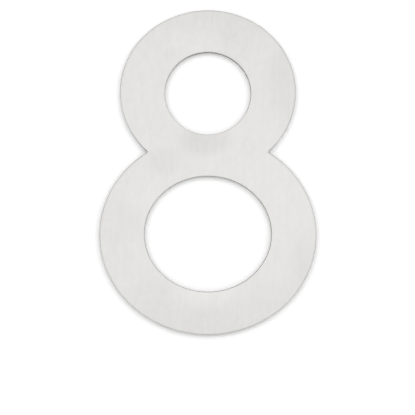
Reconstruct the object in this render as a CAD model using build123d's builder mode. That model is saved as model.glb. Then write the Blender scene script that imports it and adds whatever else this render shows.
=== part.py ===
from build123d import *
import os
from math import cos, radians, sin, sqrt

# House number 8: a flat numeral, six inches tall, laser cut from brushed stainless plate. Its face is plain,
# because it is fixed from behind: four threaded studs screw into blind tapped holes in its back and go into
# holes drilled in the wall, so that the plate lies flat on it.
#
# Frame, in millimetres: the wall's surface is the XZ plane, +Z is up, +Y goes into the wall, and the face
# looks along -Y. The origin is the middle of the stud pattern, on the wall's surface.

# Numeral, up its middle line from the foot: bar, lower counter, bar at the waist, upper counter, bar
foot_bar = 20.2
lower_counter_height = 54.3
waist_bar = 19.6
upper_counter_height = 38.6
top_bar = 19.7

# The outer edge of each bowl is an ellipse. The two cross at the waist, where the hidden edge of each one
# stops this far short of the other bowl's counter
lower_bowl_width = 102.0
upper_bowl_width = 82.6
lower_bowl_tuck = 0.3
upper_bowl_tuck = 1.0

# The counters are ellipses too. The strokes at their sides are a little heavier than the bars
stem_width = 21.15

# The cut turns this tight where the bowls meet
crotch_radius = 0.3

# Plate, with its arrises eased after cutting
plate_thickness = 3.0
face_arris = 0.3
back_arris = 0.2

# Studs, the blind holes that they screw into and the metal left in front of those
stud_diameter = 4.0
stud_root_diameter = 3.3
stud_reach = 30.0
stud_tip_chamfer = 0.6
thread_clearance = 0.05
hole_mouth_margin = 0.3
metal_left = 0.8
upper_stud_angle = 45.0

# Heights above the foot
numeral_height = foot_bar + lower_counter_height + waist_bar + upper_counter_height + top_bar
lower_bowl_height = foot_bar + lower_counter_height + waist_bar - lower_bowl_tuck
upper_bowl_height = top_bar + upper_counter_height + waist_bar - upper_bowl_tuck
lower_bowl_middle = lower_bowl_height / 2
upper_bowl_middle = numeral_height - upper_bowl_height / 2
lower_counter_middle = foot_bar + lower_counter_height / 2
upper_counter_middle = numeral_height - top_bar - upper_counter_height / 2

lower_counter_width = lower_bowl_width - 2 * stem_width
upper_counter_width = upper_bowl_width - 2 * stem_width

# Along the middle of each bowl's stroke runs an ellipse halfway between the bowl's edge and the counter's.
# The upper studs stand on the upper one, turned from its top by their angle, and the lower studs stand
# straight below them on the lower one
upper_stroke_width = (upper_bowl_width + upper_counter_width) / 2
upper_stroke_height = (upper_bowl_height + upper_counter_height) / 2
upper_stroke_middle = (upper_bowl_middle + upper_counter_middle) / 2
lower_stroke_width = (lower_bowl_width + lower_counter_width) / 2
lower_stroke_height = (lower_bowl_height + lower_counter_height) / 2
lower_stroke_middle = (lower_bowl_middle + lower_counter_middle) / 2

stud_spacing_x = upper_stroke_width * sin(radians(upper_stud_angle))
upper_studs = upper_stroke_middle + upper_stroke_height / 2 * cos(radians(upper_stud_angle))
lower_stud_drop = lower_stroke_height / 2 * sqrt(1 - (stud_spacing_x / lower_stroke_width) ** 2)
lower_studs = lower_stroke_middle - lower_stud_drop
stud_spacing_z = upper_studs - lower_studs

# The frame's origin lies halfway between the studs, this far above the foot
origin_height = (upper_studs + lower_studs) / 2

# Where each stud leaves the plate: a plane on the wall's surface that looks the way that the stud goes in.
# Left and right are as seen from the front
into_wall = (0, 1, 0)
stud_seats = {
    f"mounting_stud_{level}_{side}": Plane(origin=(x, 0, z), z_dir=into_wall)
    for level, z in (("upper", stud_spacing_z / 2), ("lower", -stud_spacing_z / 2))
    for side, x in (("left", -stud_spacing_x / 2), ("right", stud_spacing_x / 2))
}

tapped_depth = plate_thickness - metal_left
tapped_radius = stud_root_diameter / 2 + thread_clearance
hole_mouth_radius = stud_diameter / 2 + hole_mouth_margin

# The plate
with BuildPart() as number_plate:
    with BuildSketch(Plane.XZ) as outline:
        with Locations((0, lower_bowl_middle - origin_height)):
            Ellipse(lower_bowl_width / 2, lower_bowl_height / 2)
        with Locations((0, upper_bowl_middle - origin_height)):
            Ellipse(upper_bowl_width / 2, upper_bowl_height / 2)

        # The crotches are the only two corners of this outline that lie level with each other
        crotches = max(outline.vertices().group_by(Axis.Y), key=len)
        fillet(crotches, crotch_radius)

        with Locations((0, lower_counter_middle - origin_height)):
            Ellipse(lower_counter_width / 2, lower_counter_height / 2, mode=Mode.SUBTRACT)
        with Locations((0, upper_counter_middle - origin_height)):
            Ellipse(upper_counter_width / 2, upper_counter_height / 2, mode=Mode.SUBTRACT)
    extrude(amount=plate_thickness)

    # Ease the rims of the face and of the back, outside and in the counters
    chamfer(number_plate.faces().sort_by(Axis.Y)[0].edges(), face_arris)
    chamfer(number_plate.faces().sort_by(Axis.Y)[-1].edges(), back_arris)

    # Blind tapped holes, with mouths wider than the studs, so that a stud's thread never lifts the plate
    with Locations(*stud_seats.values()):
        Hole(tapped_radius, tapped_depth)
    mouths = number_plate.edges(Select.LAST).filter_by(GeomType.CIRCLE).group_by(Axis.Y)[-1]
    chamfer(mouths, hole_mouth_radius - tapped_radius)

number_plate.part.label = "number_plate"


def make_stud(seat):
    """A stud screwed home on the floor of its hole. Its full thread starts at the wall's surface."""
    with BuildPart() as stud:
        with BuildSketch(seat.offset(-tapped_depth)):
            Circle(stud_root_diameter / 2)
        extrude(amount=tapped_depth)
        with BuildSketch(seat):
            Circle(stud_diameter / 2)
        extrude(amount=stud_reach)
        chamfer(stud.edges().sort_by(Axis.Y)[-1], stud_tip_chamfer)
    return stud.part


# The studs, two in the upper bowl and two in the lower
studs = {name: make_stud(seat) for name, seat in stud_seats.items()}

os.makedirs("parts", exist_ok=True)
export_step(number_plate.part, "parts/number_plate.step")
for name, stud in studs.items():
    stud.label = name
    export_step(stud, f"parts/{name}.step")

print(f"Numeral {lower_bowl_width:.1f} wide, {numeral_height:.1f} tall and {plate_thickness:.1f} thick")
print(f"Studs {stud_spacing_x:.3f} apart across and {stud_spacing_z:.3f} apart up")
print(f"Foot {origin_height:.3f} below the origin")
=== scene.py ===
# %% [markdown]
# House number 8, dressed in Blender
#
# The solids arrive already made to size: one flat numeral cut from steel plate, and four
# threaded studs that hold it on the wall. This lesson gives the numeral its brushed face,
# cut edges and dull back, cuts a real thread on the studs, and sets up a white wall with
# soft light so that the picture looks like the catalogue photograph.

# %% Load the numeral and its studs
import math

import bpy
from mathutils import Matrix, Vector


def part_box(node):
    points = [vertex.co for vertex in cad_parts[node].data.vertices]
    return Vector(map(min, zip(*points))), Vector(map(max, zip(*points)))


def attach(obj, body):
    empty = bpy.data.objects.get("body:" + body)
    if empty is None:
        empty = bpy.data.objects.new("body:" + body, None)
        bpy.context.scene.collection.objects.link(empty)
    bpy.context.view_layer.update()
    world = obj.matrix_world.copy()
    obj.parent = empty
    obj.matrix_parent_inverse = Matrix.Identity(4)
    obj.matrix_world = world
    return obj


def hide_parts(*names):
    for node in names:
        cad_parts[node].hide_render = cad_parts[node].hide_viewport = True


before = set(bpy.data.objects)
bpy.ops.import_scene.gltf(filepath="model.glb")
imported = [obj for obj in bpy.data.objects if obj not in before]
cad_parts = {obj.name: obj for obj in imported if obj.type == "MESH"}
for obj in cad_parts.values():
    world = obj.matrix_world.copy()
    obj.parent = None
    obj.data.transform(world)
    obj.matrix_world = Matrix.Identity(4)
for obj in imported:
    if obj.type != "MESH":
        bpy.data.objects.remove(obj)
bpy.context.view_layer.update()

numeral_low, numeral_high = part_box("number_plate")
print("solids found:", sorted(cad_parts))
print("numeral size in metres:", [round(v, 5) for v in numeral_high - numeral_low])

# %% [markdown]
# Lengths are easiest to think about in millimetres, and Blender works in metres. One small
# function turns the first into the second, so the numbers below can be read with a ruler in
# hand. A second one clears the selection: the loader leaves every solid selected, and an
# operator acts on all that is selected.

# %% Millimetres and a clear selection
MM = 0.001


def mm(length):
    return length * MM


def clear_selection():
    if bpy.context.mode != "OBJECT":
        bpy.ops.object.mode_set(mode="OBJECT")
    bpy.ops.object.select_all(action="DESELECT")


clear_selection()
print("one millimetre is", mm(1), "metres")

# %% [markdown]
# The photograph was taken square on, by a camera a little below the numeral's middle and a
# little to its left: the dark walls of the openings show along their tops and right sides,
# and nowhere else. The camera here stands in the same place. It could be turned towards the
# numeral, but then upright lines would lean, so its lens is shifted instead. The picture's
# width in millimetres was measured from the numeral's known height, and the focal length
# follows from that width and the distance.

# %% Camera
PICTURE_WIDTH = mm(194.9)
PICTURE_MIDDLE_ACROSS = mm(-0.21)
PICTURE_MIDDLE_BELOW = mm(16.44)
CAMERA_DISTANCE = mm(780)
CAMERA_LEFT = mm(16)
CAMERA_LOWER = mm(30)
CLIP_START = mm(10)
SENSOR = 36.0
QUARTER_TURN = math.radians(90)

face_y = numeral_low.y
middle_z = (numeral_low.z + numeral_high.z) / 2
camera_place = (PICTURE_MIDDLE_ACROSS - CAMERA_LEFT, face_y - CAMERA_DISTANCE,
                middle_z - PICTURE_MIDDLE_BELOW - CAMERA_LOWER)
bpy.ops.object.camera_add(location=camera_place, rotation=(QUARTER_TURN, 0, 0))
camera = bpy.context.object
camera.name = "front_camera"
camera.data.sensor_width = SENSOR
camera.data.lens = SENSOR * CAMERA_DISTANCE / PICTURE_WIDTH
camera.data.clip_start = CLIP_START
camera.data.shift_x = CAMERA_LEFT / PICTURE_WIDTH
camera.data.shift_y = CAMERA_LOWER / PICTURE_WIDTH
bpy.context.scene.camera = camera
bpy.context.scene.view_settings.view_transform = "Standard"
print("lens in mm:", round(camera.data.lens, 1))

# %% [markdown]
# Materials are small machines made of nodes. These helpers keep the recipes short: one adds
# a node and fills or links its inputs by name, one starts an empty material, and the others
# do arithmetic on numbers or on the outputs of other nodes.

# %% Helpers for recipes made of nodes


def add_node(tree, kind, inputs=None, **settings):
    node = tree.nodes.new(kind)
    for key, value in settings.items():
        setattr(node, key, value)
    for key, value in (inputs or {}).items():
        if isinstance(value, bpy.types.NodeSocket):
            tree.links.new(value, node.inputs[key])
        else:
            node.inputs[key].default_value = value
    return node


def start_finish(name):
    finish = bpy.data.materials.new(name)
    finish.use_nodes = True
    finish.node_tree.nodes.clear()
    return finish, finish.node_tree


def combine(tree, operation, first, second=0.0):
    return add_node(tree, "ShaderNodeMath", {0: first, 1: second},
                    operation=operation).outputs[0]


def total(tree, first, *others):
    for other in others:
        first = combine(tree, "ADD", first, other)
    return first


def sum_of_squares(tree, first, second):
    return total(tree, combine(tree, "MULTIPLY", first, first),
                 combine(tree, "MULTIPLY", second, second))


def rescale(tree, value, low, high, to_low, to_high, ease="LINEAR"):
    return add_node(tree, "ShaderNodeMapRange",
                    {"Value": value, "From Min": low, "From Max": high,
                     "To Min": to_low, "To Max": to_high},
                    interpolation_type=ease).outputs["Result"]


def choose(tree, mask, other, chosen):
    return add_node(tree, "ShaderNodeMix", {0: mask, 2: other, 3: chosen},
                    data_type="FLOAT").outputs[0]


def choose_colour(tree, mask, other, chosen):
    return add_node(tree, "ShaderNodeMix", {0: mask, 6: other, 7: chosen},
                    data_type="RGBA").outputs[2]


print("helpers ready")

# %% [markdown]
# The wall and the floor are painted white. A little white is added for the camera and for
# mirrored views only, which keeps the paper white of a catalogue page without putting more
# light on the steel. Light Path tells which rays come from there.

# %% Pale paint
WHITE = (1, 1, 1, 1)


def seen_directly(tree):
    path = add_node(tree, "ShaderNodeLightPath")
    seen = combine(tree, "MAXIMUM", path.outputs["Is Camera Ray"], path.outputs["Is Glossy Ray"])
    return combine(tree, "MAXIMUM", seen, path.outputs["Is Transmission Ray"])


def pale_paint(tree, colour, glow):
    paint = add_node(tree, "ShaderNodeBsdfDiffuse", {"Color": colour})
    added_white = add_node(tree, "ShaderNodeEmission", {
        "Color": WHITE, "Strength": combine(tree, "MULTIPLY", seen_directly(tree), glow)})
    return add_node(tree, "ShaderNodeAddShader", {0: paint.outputs[0],
                                                  1: added_white.outputs[0]}).outputs[0]


def add_sheet(name, size, place, turn, finish):
    bpy.ops.mesh.primitive_plane_add(size=size, location=place, rotation=(turn, 0, 0))
    sheet = bpy.context.object
    sheet.name = name
    bpy.ops.object.transform_apply(location=True, rotation=True, scale=True)
    sheet.data.materials.append(finish)
    return sheet


print("paint ready")

# %% [markdown]
# The numeral lies flat against a white wall. The wall is one big sheet that faces the
# camera, and it sits a hair in front of the numeral's back so that no gap of light shows at
# the foot of the edges. Seen from behind it lets everything through, as if the numeral had
# been lifted off, so the studs and the back can be looked at as well.

# %% White wall
WALL_SIZE = mm(3600)
WALL_BEFORE_BACK = mm(0.05)
WALL_WHITE = (0.95, 0.95, 0.95, 1)
WALL_GLOW = 0.16

wall_finish, tree = start_finish("white_wall")
wall_sides = add_node(tree, "ShaderNodeMixShader", {
    0: add_node(tree, "ShaderNodeNewGeometry").outputs["Backfacing"],
    1: pale_paint(tree, WALL_WHITE, WALL_GLOW),
    2: add_node(tree, "ShaderNodeBsdfTransparent").outputs[0]})
add_node(tree, "ShaderNodeOutputMaterial", {"Surface": wall_sides.outputs[0]})
wall = add_sheet("wall", WALL_SIZE, (0, -WALL_BEFORE_BACK, 0), QUARTER_TURN, wall_finish)
print("wall faces:", [round(v) for v in wall.data.polygons[0].normal])

# %% [markdown]
# A pale floor lies well below the numeral. It isn't in the photograph, but it gives the
# steel something plain to reflect from below, and it is there when the scene is viewed from
# other sides.

# %% Pale floor
FLOOR_BELOW = mm(900)
FLOOR_PALE = (0.80, 0.80, 0.79, 1)
FLOOR_GLOW = 0.30

floor_finish, tree = start_finish("pale_floor")
add_node(tree, "ShaderNodeOutputMaterial", {"Surface": pale_paint(tree, FLOOR_PALE, FLOOR_GLOW)})
floor = add_sheet("floor", 2 * WALL_SIZE, (0, 0, -FLOOR_BELOW), 0, floor_finish)
print("floor lies", FLOOR_BELOW, "m below the middle of the studs")

# %% [markdown]
# The shadow in the photograph is soft, hugs the outline and is strongest below it. That is
# a white room with one very large soft light above the camera. The room lights the scene
# from all sides, a little over half as strongly as white paper. The camera sees it white,
# and so does the steel, except that the room it mirrors gets darker towards the ceiling,
# which keeps the bevels that look up from shining. The direction of a ray tells how high
# it looks, from 0 for level to 1 for straight up.

# %% White room
ROOM_LEVEL = 0.60
CEILING_LEVEL = 0.50
FADE_STARTS = 0.3

room = bpy.data.worlds.new("white_room")
bpy.context.scene.world = room
room.use_nodes = True
room.cycles.sampling_method = "NONE"
tree = room.node_tree
tree.nodes.clear()
ray_direction = add_node(tree, "ShaderNodeTexCoord").outputs["Generated"]
how_high = add_node(tree, "ShaderNodeSeparateXYZ", {0: ray_direction}).outputs[2]
mirrored_room = rescale(tree, how_high, FADE_STARTS, 1.0, 1.0, CEILING_LEVEL, "SMOOTHSTEP")
plain_room = rescale(tree, seen_directly(tree), 0.0, 1.0, ROOM_LEVEL, 1.0)
path = add_node(tree, "ShaderNodeLightPath")
room_light = add_node(tree, "ShaderNodeBackground", {
    "Color": WHITE,
    "Strength": choose(tree, path.outputs["Is Glossy Ray"], plain_room, mirrored_room)})
add_node(tree, "ShaderNodeOutputWorld", {"Surface": room_light.outputs[0]})
print("room level:", ROOM_LEVEL, "mirrored ceiling:", CEILING_LEVEL)

# %% [markdown]
# A soft light is described by the slopes between which it is seen from the numeral: how far
# it reaches sideways and upwards for each metre of distance. Its brightness is then a plain
# number, where 1 is as bright as white paper. Watts follow from brightness times area. The
# big one stands before the wall, a little to the right, and is kept out of the steel's
# reflections, where its lower edge would show across the face. A second, dimmer one stands
# behind the wall for the studs and the back.

# %% Soft lights
LIGHT_DISTANCE = mm(1300)
LIGHT_SLOPES = (0.03, 1.15)
LIGHT_HALF_WIDTH = 1.7
FRONT_TO_THE_RIGHT = 0.3
FRONT_BRIGHTNESS = 1.18
REAR_BRIGHTNESS = 0.9


def power(brightness, area):
    return brightness * math.pi * area


def add_soft_light(name, direction, to_the_right, brightness):
    height = LIGHT_DISTANCE * (LIGHT_SLOPES[1] - LIGHT_SLOPES[0])
    width = LIGHT_DISTANCE * LIGHT_HALF_WIDTH * 2
    centre = (LIGHT_DISTANCE * to_the_right, direction * LIGHT_DISTANCE,
              LIGHT_DISTANCE * (LIGHT_SLOPES[0] + LIGHT_SLOPES[1]) / 2)
    bpy.ops.object.light_add(type="AREA", location=centre,
                             rotation=(-direction * QUARTER_TURN, 0, 0))
    light = bpy.context.object
    light.name = name
    light.data.shape = "RECTANGLE"
    light.data.size = width
    light.data.size_y = height
    light.data.energy = power(brightness, width * height)
    print(name, "is", round(width, 2), "by", round(height, 2), "m,",
          round(light.data.energy, 1), "W")
    return light


front_light = add_soft_light("front_soft_light", -1, FRONT_TO_THE_RIGHT, FRONT_BRIGHTNESS)
front_light.visible_glossy = False
add_soft_light("rear_soft_light", 1, 0, REAR_BRIGHTNESS)

# %% [markdown]
# A smaller, round light stands in front of the numeral, a little to the right. The steel
# may mirror this one: it gives the brushed face a faint broad sheen, strongest on the right
# of the lower bowl and weaker towards the foot and the crown, as in the photograph.

# %% Fill light
FILL_ACROSS = mm(90)
FILL_UP = mm(20)
FILL_SIZE = mm(620)
FILL_BRIGHTNESS = 0.30

bpy.ops.object.light_add(type="AREA", location=(FILL_ACROSS, face_y - LIGHT_DISTANCE, FILL_UP),
                         rotation=(QUARTER_TURN, 0, 0))
fill_light = bpy.context.object
fill_light.name = "fill_light"
fill_light.data.shape = "DISK"
fill_light.data.size = FILL_SIZE
fill_light.data.energy = power(FILL_BRIGHTNESS, math.pi * FILL_SIZE ** 2 / 4)
print("fill light", round(fill_light.data.energy, 2), "W")

# %% [markdown]
# The numeral is 3 mm stainless sheet. Its face is brushed up and down with a fine abrasive
# belt, its edges are as the cutter left them, with a small bevel all round, and its back
# keeps the mill's dull finish. One material holds them all, and picks between them by
# depth: the face is the only surface that far forward, and the back the only one that far
# rearward. First comes a helper for streaks: a noise whose pattern is drawn out along one
# direction by giving each direction its own size.

# %% Streaks of a brushed finish


def streaks(tree, place, size_mm, detail=2.0, rough=0.5):
    stretch = tuple(1.0 / mm(size) for size in size_mm)
    drawn = add_node(tree, "ShaderNodeMapping", {"Vector": place, "Scale": stretch})
    return add_node(tree, "ShaderNodeTexNoise", {
        "Vector": drawn.outputs[0], "Scale": 1.0, "Detail": detail,
        "Roughness": rough}).outputs["Fac"]


def centred(tree, value, strength):
    return combine(tree, "MULTIPLY", combine(tree, "SUBTRACT", value, 0.5), strength)


plate_finish, tree = start_finish("brushed_stainless_plate")
plate_place = add_node(tree, "ShaderNodeTexCoord").outputs["Object"]
plate_axes = add_node(tree, "ShaderNodeSeparateXYZ", {0: plate_place})
plate_x, plate_y, plate_z = (plate_axes.outputs[i] for i in range(3))
print("plate material started")

# %% [markdown]
# On the face the eye reads four sizes of grain: hairlines a fifth of a millimetre wide that
# run for centimetres, long streaks a few times as wide, short streaks, and faint cloudy
# blotches where the belt pressed more or less. Each is a noise of its own. The table gives
# its size across, through and up the plate in millimetres, its detail, and its strength.
# They are added up to a lightening or darkening of a few parts in a hundred.

# %% Grain of the face
GRAIN = {
    "hairlines": ((0.20, 1.0, 30.0), 3.0, 0.04),
    "long streaks": ((1.6, 1.0, 28.0), 2.0, 0.06),
    "short streaks": ((2.5, 1.0, 4.5), 3.0, 0.16),
    "blotches": ((6.0, 1.0, 9.0), 2.0, 0.06),
}

grain_noise = {kind: streaks(tree, plate_place, size_mm, detail)
               for kind, (size_mm, detail, _) in GRAIN.items()}
grain = total(tree, *(centred(tree, grain_noise[kind], strength)
                      for kind, (_, _, strength) in GRAIN.items()))
print("sizes of grain added up:", len(GRAIN))

# %% [markdown]
# Some areas of the face are painted a shade lighter or darker: painted light and shade, where
# the light falls unevenly across it. Each one is a soft oval, with its middle across and up,
# its half width and half height in millimetres, and a strength.

# %% Painted light and shade in soft patches on the face
# Painted light and shade: each oval lightens or darkens the face.
PAINTED_LIGHT_AND_SHADE_OVALS = [
    ("foot", 0, -74, 50, 20, -0.04),
    ("foot, above the middle", 0, -54, 17, 11, 0.04),
    ("foot, left shoulder", -26, -57, 13, 10, -0.03),
    ("foot, right shoulder", 30, -57, 14, 10, -0.03),
    ("lower bowl, low on the right", 48, -44, 14, 22, -0.04),
    ("lower bowl, left", -44, -22, 15, 14, -0.02),
    ("waist, right", 26, -12, 20, 24, 0.01),
    ("waist, left", -30, -10, 10, 10, 0.02),
    ("waist, above the left", -20, 7, 11, 9, -0.04),
    ("under the upper opening", -2, 17, 15, 10, -0.08),
    ("upper bowl, right", 42, 44, 18, 30, -0.05),
    ("upper bowl, left", -32, 46, 14, 26, 0.01),
    ("crown", 8, 78, 44, 20, -0.04),
    ("crown, left of the middle", -6, 64, 15, 15, 0.03),
    ("crown, right of the middle", 12, 57, 10, 13, -0.01),
]


def share_of(tree, height, middle, half):
    return combine(tree, "DIVIDE", combine(tree, "SUBTRACT", height, middle), half)


def soft_patch(tree, across, up, half_width, half_height, strength):
    away = sum_of_squares(tree, share_of(tree, plate_x, mm(across), mm(half_width)),
                          share_of(tree, plate_z, mm(up), mm(half_height)))
    return rescale(tree, away, 0.0, 1.0, strength, 0.0, "SMOOTHSTEP")


# Painted light and shade on the face, added up from all the ovals.
painted_light_and_shade = total(tree, *(soft_patch(tree, *oval) for _, *oval in PAINTED_LIGHT_AND_SHADE_OVALS))
print(len(PAINTED_LIGHT_AND_SHADE_OVALS), "soft patches")

# %% [markdown]
# Brushing rolls over the outer edge a little. The shade of that rolled edge is painted: a
# narrow band just inside the outline is painted a shade darker. To find it, the material needs
# the distance from the outline. The outline is two ovals, and their sizes are measured on the
# numeral itself: each oval's widest point tells its half width and its middle height, and the
# foot or the crown tells the rest.

# %% Painted shade in a band inside the outline
WAIST_HEIGHT = mm(8)
SAME_POINT = mm(0.02)
# Width of the band of painted shade inside the outline, and how dark it is painted.
PAINTED_SHADE_BAND = (mm(0.45), mm(1.0))
ROLLED_EDGE_PAINTED_SHADE = -0.075


def measure_oval(corners, end_height):
    half_width = max(abs(c.x) for c in corners)
    widest = [c.z for c in corners if half_width - abs(c.x) < SAME_POINT]
    middle = (min(widest) + max(widest)) / 2
    return half_width, abs(end_height - middle), middle


number_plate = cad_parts["number_plate"]
plate_corners = [v.co for v in number_plate.data.vertices]
ovals = [measure_oval([c for c in plate_corners if c.z < WAIST_HEIGHT], numeral_low.z),
         measure_oval([c for c in plate_corners if c.z > WAIST_HEIGHT], numeral_high.z)]
print("ovals, half width, half height and middle in mm:",
      [[round(v / MM, 2) for v in oval] for oval in ovals])

inside = []
for half_width, half_height, middle in ovals:
    squares = sum_of_squares(tree, share_of(tree, plate_x, 0.0, half_width),
                             share_of(tree, plate_z, middle, half_height))
    from_edge = combine(tree, "SUBTRACT", 1.0, combine(tree, "SQRT", squares))
    inside.append(combine(tree, "MULTIPLY", from_edge, (half_width + half_height) / 2))
from_outline = combine(tree, "MAXIMUM", *inside)
# Painted shade: the face is darkened in a narrow band just inside the outline.
rolled_edge_painted_shade = rescale(tree, from_outline, *PAINTED_SHADE_BAND, ROLLED_EDGE_PAINTED_SHADE, 0.0, "SMOOTHSTEP")

# %% [markdown]
# Each surface gets a colour and a roughness, and masks choose between them by depth. The
# face is light stainless with a trace of warmth. The cut edge is much darker and rougher,
# with fine lines straight through the plate's thickness, as a cutting beam leaves them; its
# dark colour is partly the cut finish and partly painted shade for walls that lie in shade.
# The bevel between the two is duller than the face, and its darker colour is painted shade
# that draws a dark line along the edges. Low in the upper opening a painted highlight
# lightens the bevel: that place is an oval too, given like the patches. The back is duller,
# with faint lines from the rolling mill.

# %% Colours of the face, the edges and the back
FACE_COLOUR = (0.7335, 0.7265, 0.713)
# Painted shade: the bevel's colour is darker than the face's.
BEVEL_COLOUR_WITH_SHADE = (0.56, 0.555, 0.54)
# The cut edge: dark cut finish, and partly painted shade for walls that lie in shade.
CUT_EDGE_COLOUR_WITH_SHADE = (0.17, 0.168, 0.165)
BACK_COLOUR = (0.60, 0.595, 0.58)
# Painted highlight: a bright oval on the bevel, low in the upper opening.
RIM_PAINTED_HIGHLIGHT = (0, 24, 26, 17, 0.45)
SURFACE_DEPTH = mm(0.02)
BEVEL_DEPTH = mm(0.31)
CUT_LINE_MM = (0.22, 60.0, 0.22)
CUT_LINE_STRENGTH = 0.9
ROLLING_MM = (14.0, 1.0, 0.5)
ROLLING_STRENGTH = 0.16
SCUFF_MM = (9.0, 1.0, 9.0)
SCUFF_STRENGTH = 0.22

on_face = combine(tree, "LESS_THAN", plate_y, face_y + SURFACE_DEPTH)
on_bevel = combine(tree, "LESS_THAN", plate_y, face_y + BEVEL_DEPTH)
on_back = combine(tree, "GREATER_THAN", plate_y, -SURFACE_DEPTH)
cut_lines = streaks(tree, plate_place, CUT_LINE_MM)
rolling = streaks(tree, plate_place, ROLLING_MM, detail=3.0)
scuffs = streaks(tree, plate_place, SCUFF_MM, detail=4.0, rough=0.6)


def tint(tree, colour, change):
    level = combine(tree, "ADD", change, 1.0)
    return add_node(tree, "ShaderNodeVectorMath", {0: colour, "Scale": level},
                    operation="SCALE").outputs[0]


# The face, with its grain, its painted light and shade, and the painted shade inside the
# outline.
face_colour = tint(tree, FACE_COLOUR, total(tree, grain, painted_light_and_shade, rolled_edge_painted_shade))
# The bevel's painted shade, lightened by the painted highlight.
bevel_shade_and_highlight = tint(tree, BEVEL_COLOUR_WITH_SHADE, soft_patch(tree, *RIM_PAINTED_HIGHLIGHT))
# The cut edge with its partly painted shade, and the bevel with its painted shade and highlight.
edges_with_painted_light = tint(tree, choose_colour(tree, on_bevel, (*CUT_EDGE_COLOUR_WITH_SHADE, 1), bevel_shade_and_highlight),
                   centred(tree, cut_lines, CUT_LINE_STRENGTH))
back_colour = tint(tree, BACK_COLOUR, total(tree, centred(tree, rolling, ROLLING_STRENGTH),
                                            centred(tree, scuffs, SCUFF_STRENGTH)))
front_colour = choose_colour(tree, on_face, edges_with_painted_light, face_colour)
plate_colour = choose_colour(tree, on_back, front_colour, back_colour)
print("face", FACE_COLOUR, "edge", CUT_EDGE_COLOUR_WITH_SHADE, "back", BACK_COLOUR)

# %% [markdown]
# Roughness follows the same patterns: where the grain is lighter the face is a little
# rougher, and the cut edge and the back are rougher than the face all over.

# %% Roughness of the face, the edges and the back
FACE_ROUGHNESS = (0.30, 0.44)
EDGE_ROUGHNESS = (0.42, 0.60)
BACK_ROUGHNESS = (0.44, 0.58)
NOISE_RANGE = (0.2, 0.8)
TWO_NOISES_RANGE = (0.5, 1.5)

two_noises = total(tree, grain_noise["short streaks"], grain_noise["hairlines"])
face_rough = rescale(tree, two_noises, *TWO_NOISES_RANGE, *FACE_ROUGHNESS)
edge_rough = rescale(tree, cut_lines, *NOISE_RANGE, *EDGE_ROUGHNESS)
back_rough = rescale(tree, scuffs, *NOISE_RANGE, *BACK_ROUGHNESS)
front_rough = choose(tree, on_face, edge_rough, face_rough)
plate_rough = choose(tree, on_back, front_rough, back_rough)
print("roughness of the face:", FACE_ROUGHNESS)

# %% [markdown]
# The same patterns raise and lower the surface by a few thousandths of a millimetre, so the
# grain also catches light from other directions. The tangent runs across the face, because
# a brushed metal spreads its shine at right angles to the brushing.

# %% Relief and shine
GRAIN_DEPTH = mm(0.012)
GRAIN_RELIEF = 0.35
STREAK_SHARE = 0.5
SPREAD_OF_SHINE = 0.45

face_height = total(tree, grain_noise["hairlines"],
                    combine(tree, "MULTIPLY", grain_noise["short streaks"], STREAK_SHARE))
front_height = choose(tree, on_face, cut_lines, face_height)
plate_height = choose(tree, on_back, front_height, total(tree, rolling, scuffs))
plate_relief = add_node(tree, "ShaderNodeBump", {
    "Height": plate_height, "Distance": GRAIN_DEPTH, "Strength": GRAIN_RELIEF})
across_grain = add_node(tree, "ShaderNodeTangent", direction_type="RADIAL", axis="Z")
plate_steel = add_node(tree, "ShaderNodeBsdfPrincipled", {
    "Base Color": plate_colour, "Metallic": 1.0, "Roughness": plate_rough,
    "Anisotropic": SPREAD_OF_SHINE, "Normal": plate_relief.outputs[0],
    "Tangent": across_grain.outputs[0]})
add_node(tree, "ShaderNodeOutputMaterial", {"Surface": plate_steel.outputs[0]})

for slot in number_plate.material_slots:
    slot.material = plate_finish
print("plate finish on", len(number_plate.material_slots), "slot")

# %% [markdown]
# Four studs hold the numeral. Each is a length of M4 threaded rod, screwed into a shallow
# tapped hole in the back, and pushed into glue in the drilled wall. A thread is a notched
# outline swept round and along the rod at once. The outline of one turn is drawn first, by
# shrinking a plane to a point and extruding that point from the root of the thread, up one
# flank, along the crest and down again.

# %% One turn of the thread, drawn in outline
THREAD_PITCH = mm(0.7)
CREST_RADIUS = mm(2.0)
ROOT_RADIUS = mm(1.62)
FLANK_ANGLE = math.radians(30)
CREST_FLAT = THREAD_PITCH / 8
FLANK_RISE = CREST_RADIUS - ROOT_RADIUS
FLANK_RUN = FLANK_RISE * math.tan(FLANK_ANGLE)
ROOT_FLAT = THREAD_PITCH - CREST_FLAT - 2 * FLANK_RUN

stud_low, stud_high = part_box("mounting_stud_upper_right")
stud_start, stud_end = stud_low.y, stud_high.y
thread_start = stud_start - 2 * THREAD_PITCH

clear_selection()
bpy.ops.mesh.primitive_plane_add(size=mm(1), location=(ROOT_RADIUS, thread_start, 0))
stud = bpy.context.object
stud.name = "threaded_stud"
bpy.ops.object.transform_apply(location=True, rotation=True, scale=True)
bpy.ops.object.mode_set(mode="EDIT")
bpy.ops.mesh.select_all(action="SELECT")
bpy.ops.mesh.merge(type="CENTER")
for step in [(0, ROOT_FLAT, 0), (FLANK_RISE, FLANK_RUN, 0),
             (0, CREST_FLAT, 0), (-FLANK_RISE, FLANK_RUN, 0)]:
    bpy.ops.mesh.extrude_vertices_move(TRANSFORM_OT_translate={"value": step})
bpy.ops.object.mode_set(mode="OBJECT")
print("outline points:", len(stud.data.vertices), "root flat in mm:", round(ROOT_FLAT / MM, 3))

# %% [markdown]
# The Screw modifier turns the outline round the rod's axis and moves it on by one pitch
# each time. The turns meet point to point, so merging the doubles joins them into one strip.

# %% Sweep the thread
STEPS_PER_TURN = 28
SPARE_TURNS = 4
MERGE_WITHIN = mm(0.001)

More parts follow.
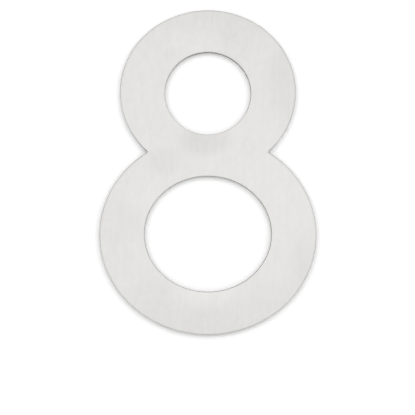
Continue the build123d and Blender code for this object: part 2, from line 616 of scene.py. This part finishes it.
thread_turns = math.ceil((stud_end - stud_start) / THREAD_PITCH) + SPARE_TURNS
sweep = stud.modifiers.new("sweep", "SCREW")
sweep.axis = "Y"
sweep.angle = math.radians(360)
sweep.screw_offset = THREAD_PITCH
sweep.iterations = thread_turns
sweep.steps = STEPS_PER_TURN
sweep.render_steps = STEPS_PER_TURN
sweep.use_merge_vertices = False
bpy.context.view_layer.objects.active = stud
bpy.ops.object.modifier_apply(modifier="sweep")
bpy.ops.object.mode_set(mode="EDIT")
bpy.ops.mesh.select_all(action="SELECT")
bpy.ops.mesh.remove_doubles(threshold=MERGE_WITHIN)
bpy.ops.mesh.normals_make_consistent(inside=False)
print("turns:", thread_turns)

# %% [markdown]
# The strip is longer than the rod. Cutting it square at both ends, and filling each cut,
# makes it a closed solid. The cut's threshold has to be very small: with its usual tenth of
# a millimetre it counts points near the cut as lying on it, and the fill leaves gaps there.
# A closed solid has no open edges, so they are counted.

# %% Cut the rod to length
CUT_THRESHOLD = mm(0.0001)


def open_edges(mesh):
    faces_on_edge = {}
    for polygon in mesh.polygons:
        for key in polygon.edge_keys:
            faces_on_edge[key] = faces_on_edge.get(key, 0) + 1
    return sum(count != 2 for count in faces_on_edge.values())


def describe_rod(title, rod):
    heights = [v.co.y for v in rod.data.vertices]
    print(title, "from", round(min(heights) / MM, 3), "to", round(max(heights) / MM, 3), "mm,",
          len(rod.data.polygons), "faces,", open_edges(rod.data), "open edges")


for height, direction in [(stud_start, -1), (stud_end, 1)]:
    bpy.ops.mesh.select_all(action="SELECT")
    bpy.ops.mesh.bisect(plane_co=(0, height, 0), plane_no=(0, direction, 0), use_fill=True,
                        clear_outer=True, clear_inner=False, threshold=CUT_THRESHOLD)
bpy.ops.object.mode_set(mode="OBJECT")
describe_rod("rod", stud)

# %% [markdown]
# The rod's tip is bevelled so that the thread starts cleanly, and inside the plate the
# thread fills the tapped hole, which is narrower than the crests. A turned blank of that
# shape is made from a cylinder by extruding and scaling its end.

# %% Turn the blank
IN_PLATE_RADIUS = mm(1.65)
OVER_CREST_RADIUS = mm(2.05)
TIP_RADIUS = mm(1.42)
TIP_BEVEL = mm(0.6)
IN_PLATE_END = mm(-0.65)
FULL_THREAD_START = mm(-0.3)
BLANK_SIDES = 56
NEARLY_SQUARE = 0.9

clear_selection()
blank_start = stud_start - THREAD_PITCH
bpy.ops.mesh.primitive_cylinder_add(
    vertices=BLANK_SIDES, radius=IN_PLATE_RADIUS, depth=IN_PLATE_END - blank_start,
    location=(0, (IN_PLATE_END + blank_start) / 2, 0), rotation=(QUARTER_TURN, 0, 0))
blank = bpy.context.object
blank.name = "turned_blank"
bpy.ops.object.transform_apply(location=True, rotation=True, scale=True)
bpy.ops.object.mode_set(mode="EDIT")
bpy.ops.mesh.select_all(action="DESELECT")
bpy.ops.object.mode_set(mode="OBJECT")
for polygon in blank.data.polygons:
    polygon.select = polygon.normal.y > NEARLY_SQUARE
bpy.ops.object.mode_set(mode="EDIT")
bpy.ops.mesh.select_mode(type="FACE")
blank_stations = [(IN_PLATE_END, IN_PLATE_RADIUS), (FULL_THREAD_START, OVER_CREST_RADIUS),
                  (stud_end - TIP_BEVEL, OVER_CREST_RADIUS), (stud_end, TIP_RADIUS),
                  (stud_end + THREAD_PITCH, TIP_RADIUS - THREAD_PITCH)]
for (here, radius), (there, next_radius) in zip(blank_stations, blank_stations[1:]):
    bpy.ops.mesh.extrude_region_move(
        TRANSFORM_OT_translate={"value": (0, there - here, 0)})
    bpy.ops.transform.resize(value=(next_radius / radius, 1, next_radius / radius),
                             center_override=(0, there, 0))
bpy.ops.object.mode_set(mode="OBJECT")
describe_rod("blank", blank)

# %% [markdown]
# The Boolean modifier keeps only what the blank and the threaded rod share. Its result is
# cleaned of double points, its faces are turned outwards, and the thread is shaded smooth
# everywhere but across its sharp edges.

# %% Trim the thread with the blank
MERGE_AFTER_TRIM = mm(0.0005)
SHARPER_THAN = math.radians(35)

trim = stud.modifiers.new("trim", "BOOLEAN")
trim.operation = "INTERSECT"
trim.solver = "EXACT"
trim.object = blank
bpy.context.view_layer.objects.active = stud
bpy.ops.object.modifier_apply(modifier="trim")
bpy.data.objects.remove(blank)
describe_rod("trimmed stud", stud)

clear_selection()
stud.select_set(True)
bpy.context.view_layer.objects.active = stud
bpy.ops.object.mode_set(mode="EDIT")
bpy.ops.mesh.select_all(action="SELECT")
bpy.ops.mesh.remove_doubles(threshold=MERGE_AFTER_TRIM)
bpy.ops.mesh.normals_make_consistent(inside=False)
bpy.ops.object.mode_set(mode="OBJECT")
bpy.ops.object.shade_smooth_by_angle(angle=SHARPER_THAN)
describe_rod("finished stud", stud)

# %% [markdown]
# An ordinary screw tightens clockwise. To be sure of the hand of this one, look at the crest
# at one height and find the next point of it, one step round. If going round clockwise, seen
# along the rod, also goes forward, the advance is positive, and over a whole turn it has to
# be one pitch.

# %% Check the hand of the thread
CHECK_HEIGHT = mm(10)
NEAR_CREST = mm(0.01)
RISE_ALLOWANCE = 1.5


def advance_of_crest(points):
    crest = [p for p in points if math.hypot(p.x, p.z) > CREST_RADIUS - NEAR_CREST
             and 0 <= p.y - CHECK_HEIGHT < THREAD_PITCH]
    lowest = min(crest, key=lambda p: p.y)
    step = 2 * math.pi / STEPS_PER_TURN
    for direction in (1, -1):
        wanted = math.atan2(lowest.x, lowest.z) + direction * step
        beside = [p.y - lowest.y for p in crest
                  if abs(math.remainder(math.atan2(p.x, p.z) - wanted, 2 * math.pi)) < step / 4]
        if min(beside) < RISE_ALLOWANCE * THREAD_PITCH / STEPS_PER_TURN:
            return direction * min(beside) * STEPS_PER_TURN
    return 0.0


stud_points = [v.co for v in stud.data.vertices]
print("advance per turn in mm:", round(advance_of_crest(stud_points) / MM, 3))

# %% [markdown]
# The stud's steel is plain rolled thread: bright crests, darker and duller in the grooves.
# The four rods stand at the corners of a rectangle round the origin, so the distance from the
# nearest rod's axis is found once for all four by folding the left and lower halves over the
# right and upper ones.

# %% Steel of the studs
CREST_COLOUR = (0.66, 0.65, 0.63)
GROOVE_COLOUR = (0.36, 0.355, 0.345)
GROOVE_ROUGHNESS = 0.46
CREST_ROUGHNESS = 0.26
WEAR_MM = (1.2, 3.0, 1.2)
WEAR_STRENGTH = 0.35
WEAR_ROUGHNESS = 0.2
ROLL_MARK_MM = (0.25, 0.12, 0.25)
ROLL_MARK_STRENGTH = 0.18
ROLL_MARK_DEPTH = mm(0.01)
ROLL_MARK_RELIEF = 0.4

stud_across = (stud_low.x + stud_high.x) / 2
stud_up = (stud_low.z + stud_high.z) / 2
stud_finish, tree = start_finish("rolled_thread_steel")
stud_place = add_node(tree, "ShaderNodeTexCoord").outputs["Object"]
stud_axes = add_node(tree, "ShaderNodeSeparateXYZ", {0: stud_place})
off_axis = [combine(tree, "SUBTRACT", combine(tree, "ABSOLUTE", stud_axes.outputs[i]), middle)
            for i, middle in ((0, stud_across), (2, stud_up))]
from_axis = combine(tree, "SQRT", sum_of_squares(tree, *off_axis))
on_crest = rescale(tree, from_axis, ROOT_RADIUS, CREST_RADIUS, 0.0, 1.0, "SMOOTHSTEP")
wear = streaks(tree, stud_place, WEAR_MM, detail=4.0, rough=0.6)
roll_marks = streaks(tree, stud_place, ROLL_MARK_MM)

stud_change = total(tree, centred(tree, wear, WEAR_STRENGTH),
                    centred(tree, roll_marks, ROLL_MARK_STRENGTH))
stud_colour = tint(tree, choose_colour(tree, on_crest, (*GROOVE_COLOUR, 1), (*CREST_COLOUR, 1)),
                   stud_change)
stud_rough = total(tree, rescale(tree, on_crest, 0.0, 1.0, GROOVE_ROUGHNESS, CREST_ROUGHNESS),
                   centred(tree, wear, WEAR_ROUGHNESS))
stud_relief = add_node(tree, "ShaderNodeBump", {
    "Height": roll_marks, "Distance": ROLL_MARK_DEPTH, "Strength": ROLL_MARK_RELIEF})
stud_steel = add_node(tree, "ShaderNodeBsdfPrincipled", {
    "Base Color": stud_colour, "Metallic": 1.0, "Roughness": stud_rough,
    "Normal": stud_relief.outputs[0]})
add_node(tree, "ShaderNodeOutputMaterial", {"Surface": stud_steel.outputs[0]})
stud.data.materials.clear()
stud.data.materials.append(stud_finish)
print("studs stand", round(stud_across / MM, 2), "and", round(stud_up / MM, 2),
      "mm from the middle")

# %% [markdown]
# The finished rod is copied to the four places. Each copy has its own mesh, moved into
# place inside it, and is turned a little, because no two rods stop at the same angle.

# %% Put the four studs in place
STUD_TURN = math.radians(67)

for count, place in enumerate(["upper_left", "upper_right", "lower_left", "lower_right"]):
    node = "mounting_stud_" + place
    low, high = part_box(node)
    middle = Vector(((low.x + high.x) / 2, 0, (low.z + high.z) / 2))
    clear_selection()
    stud.select_set(True)
    bpy.context.view_layer.objects.active = stud
    bpy.ops.object.duplicate(linked=False)
    copy = bpy.context.object
    copy.name = "threaded_stud_" + place
    bpy.ops.transform.rotate(value=STUD_TURN * count, orient_axis="Y", center_override=(0, 0, 0))
    bpy.ops.transform.translate(value=middle)
    bpy.ops.object.transform_apply(location=True, rotation=True, scale=True)
    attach(copy, "root")
    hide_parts(node)
    print(copy.name, "at", [round(v / MM, 2) for v in middle])
bpy.data.objects.remove(stud)
clear_selection()
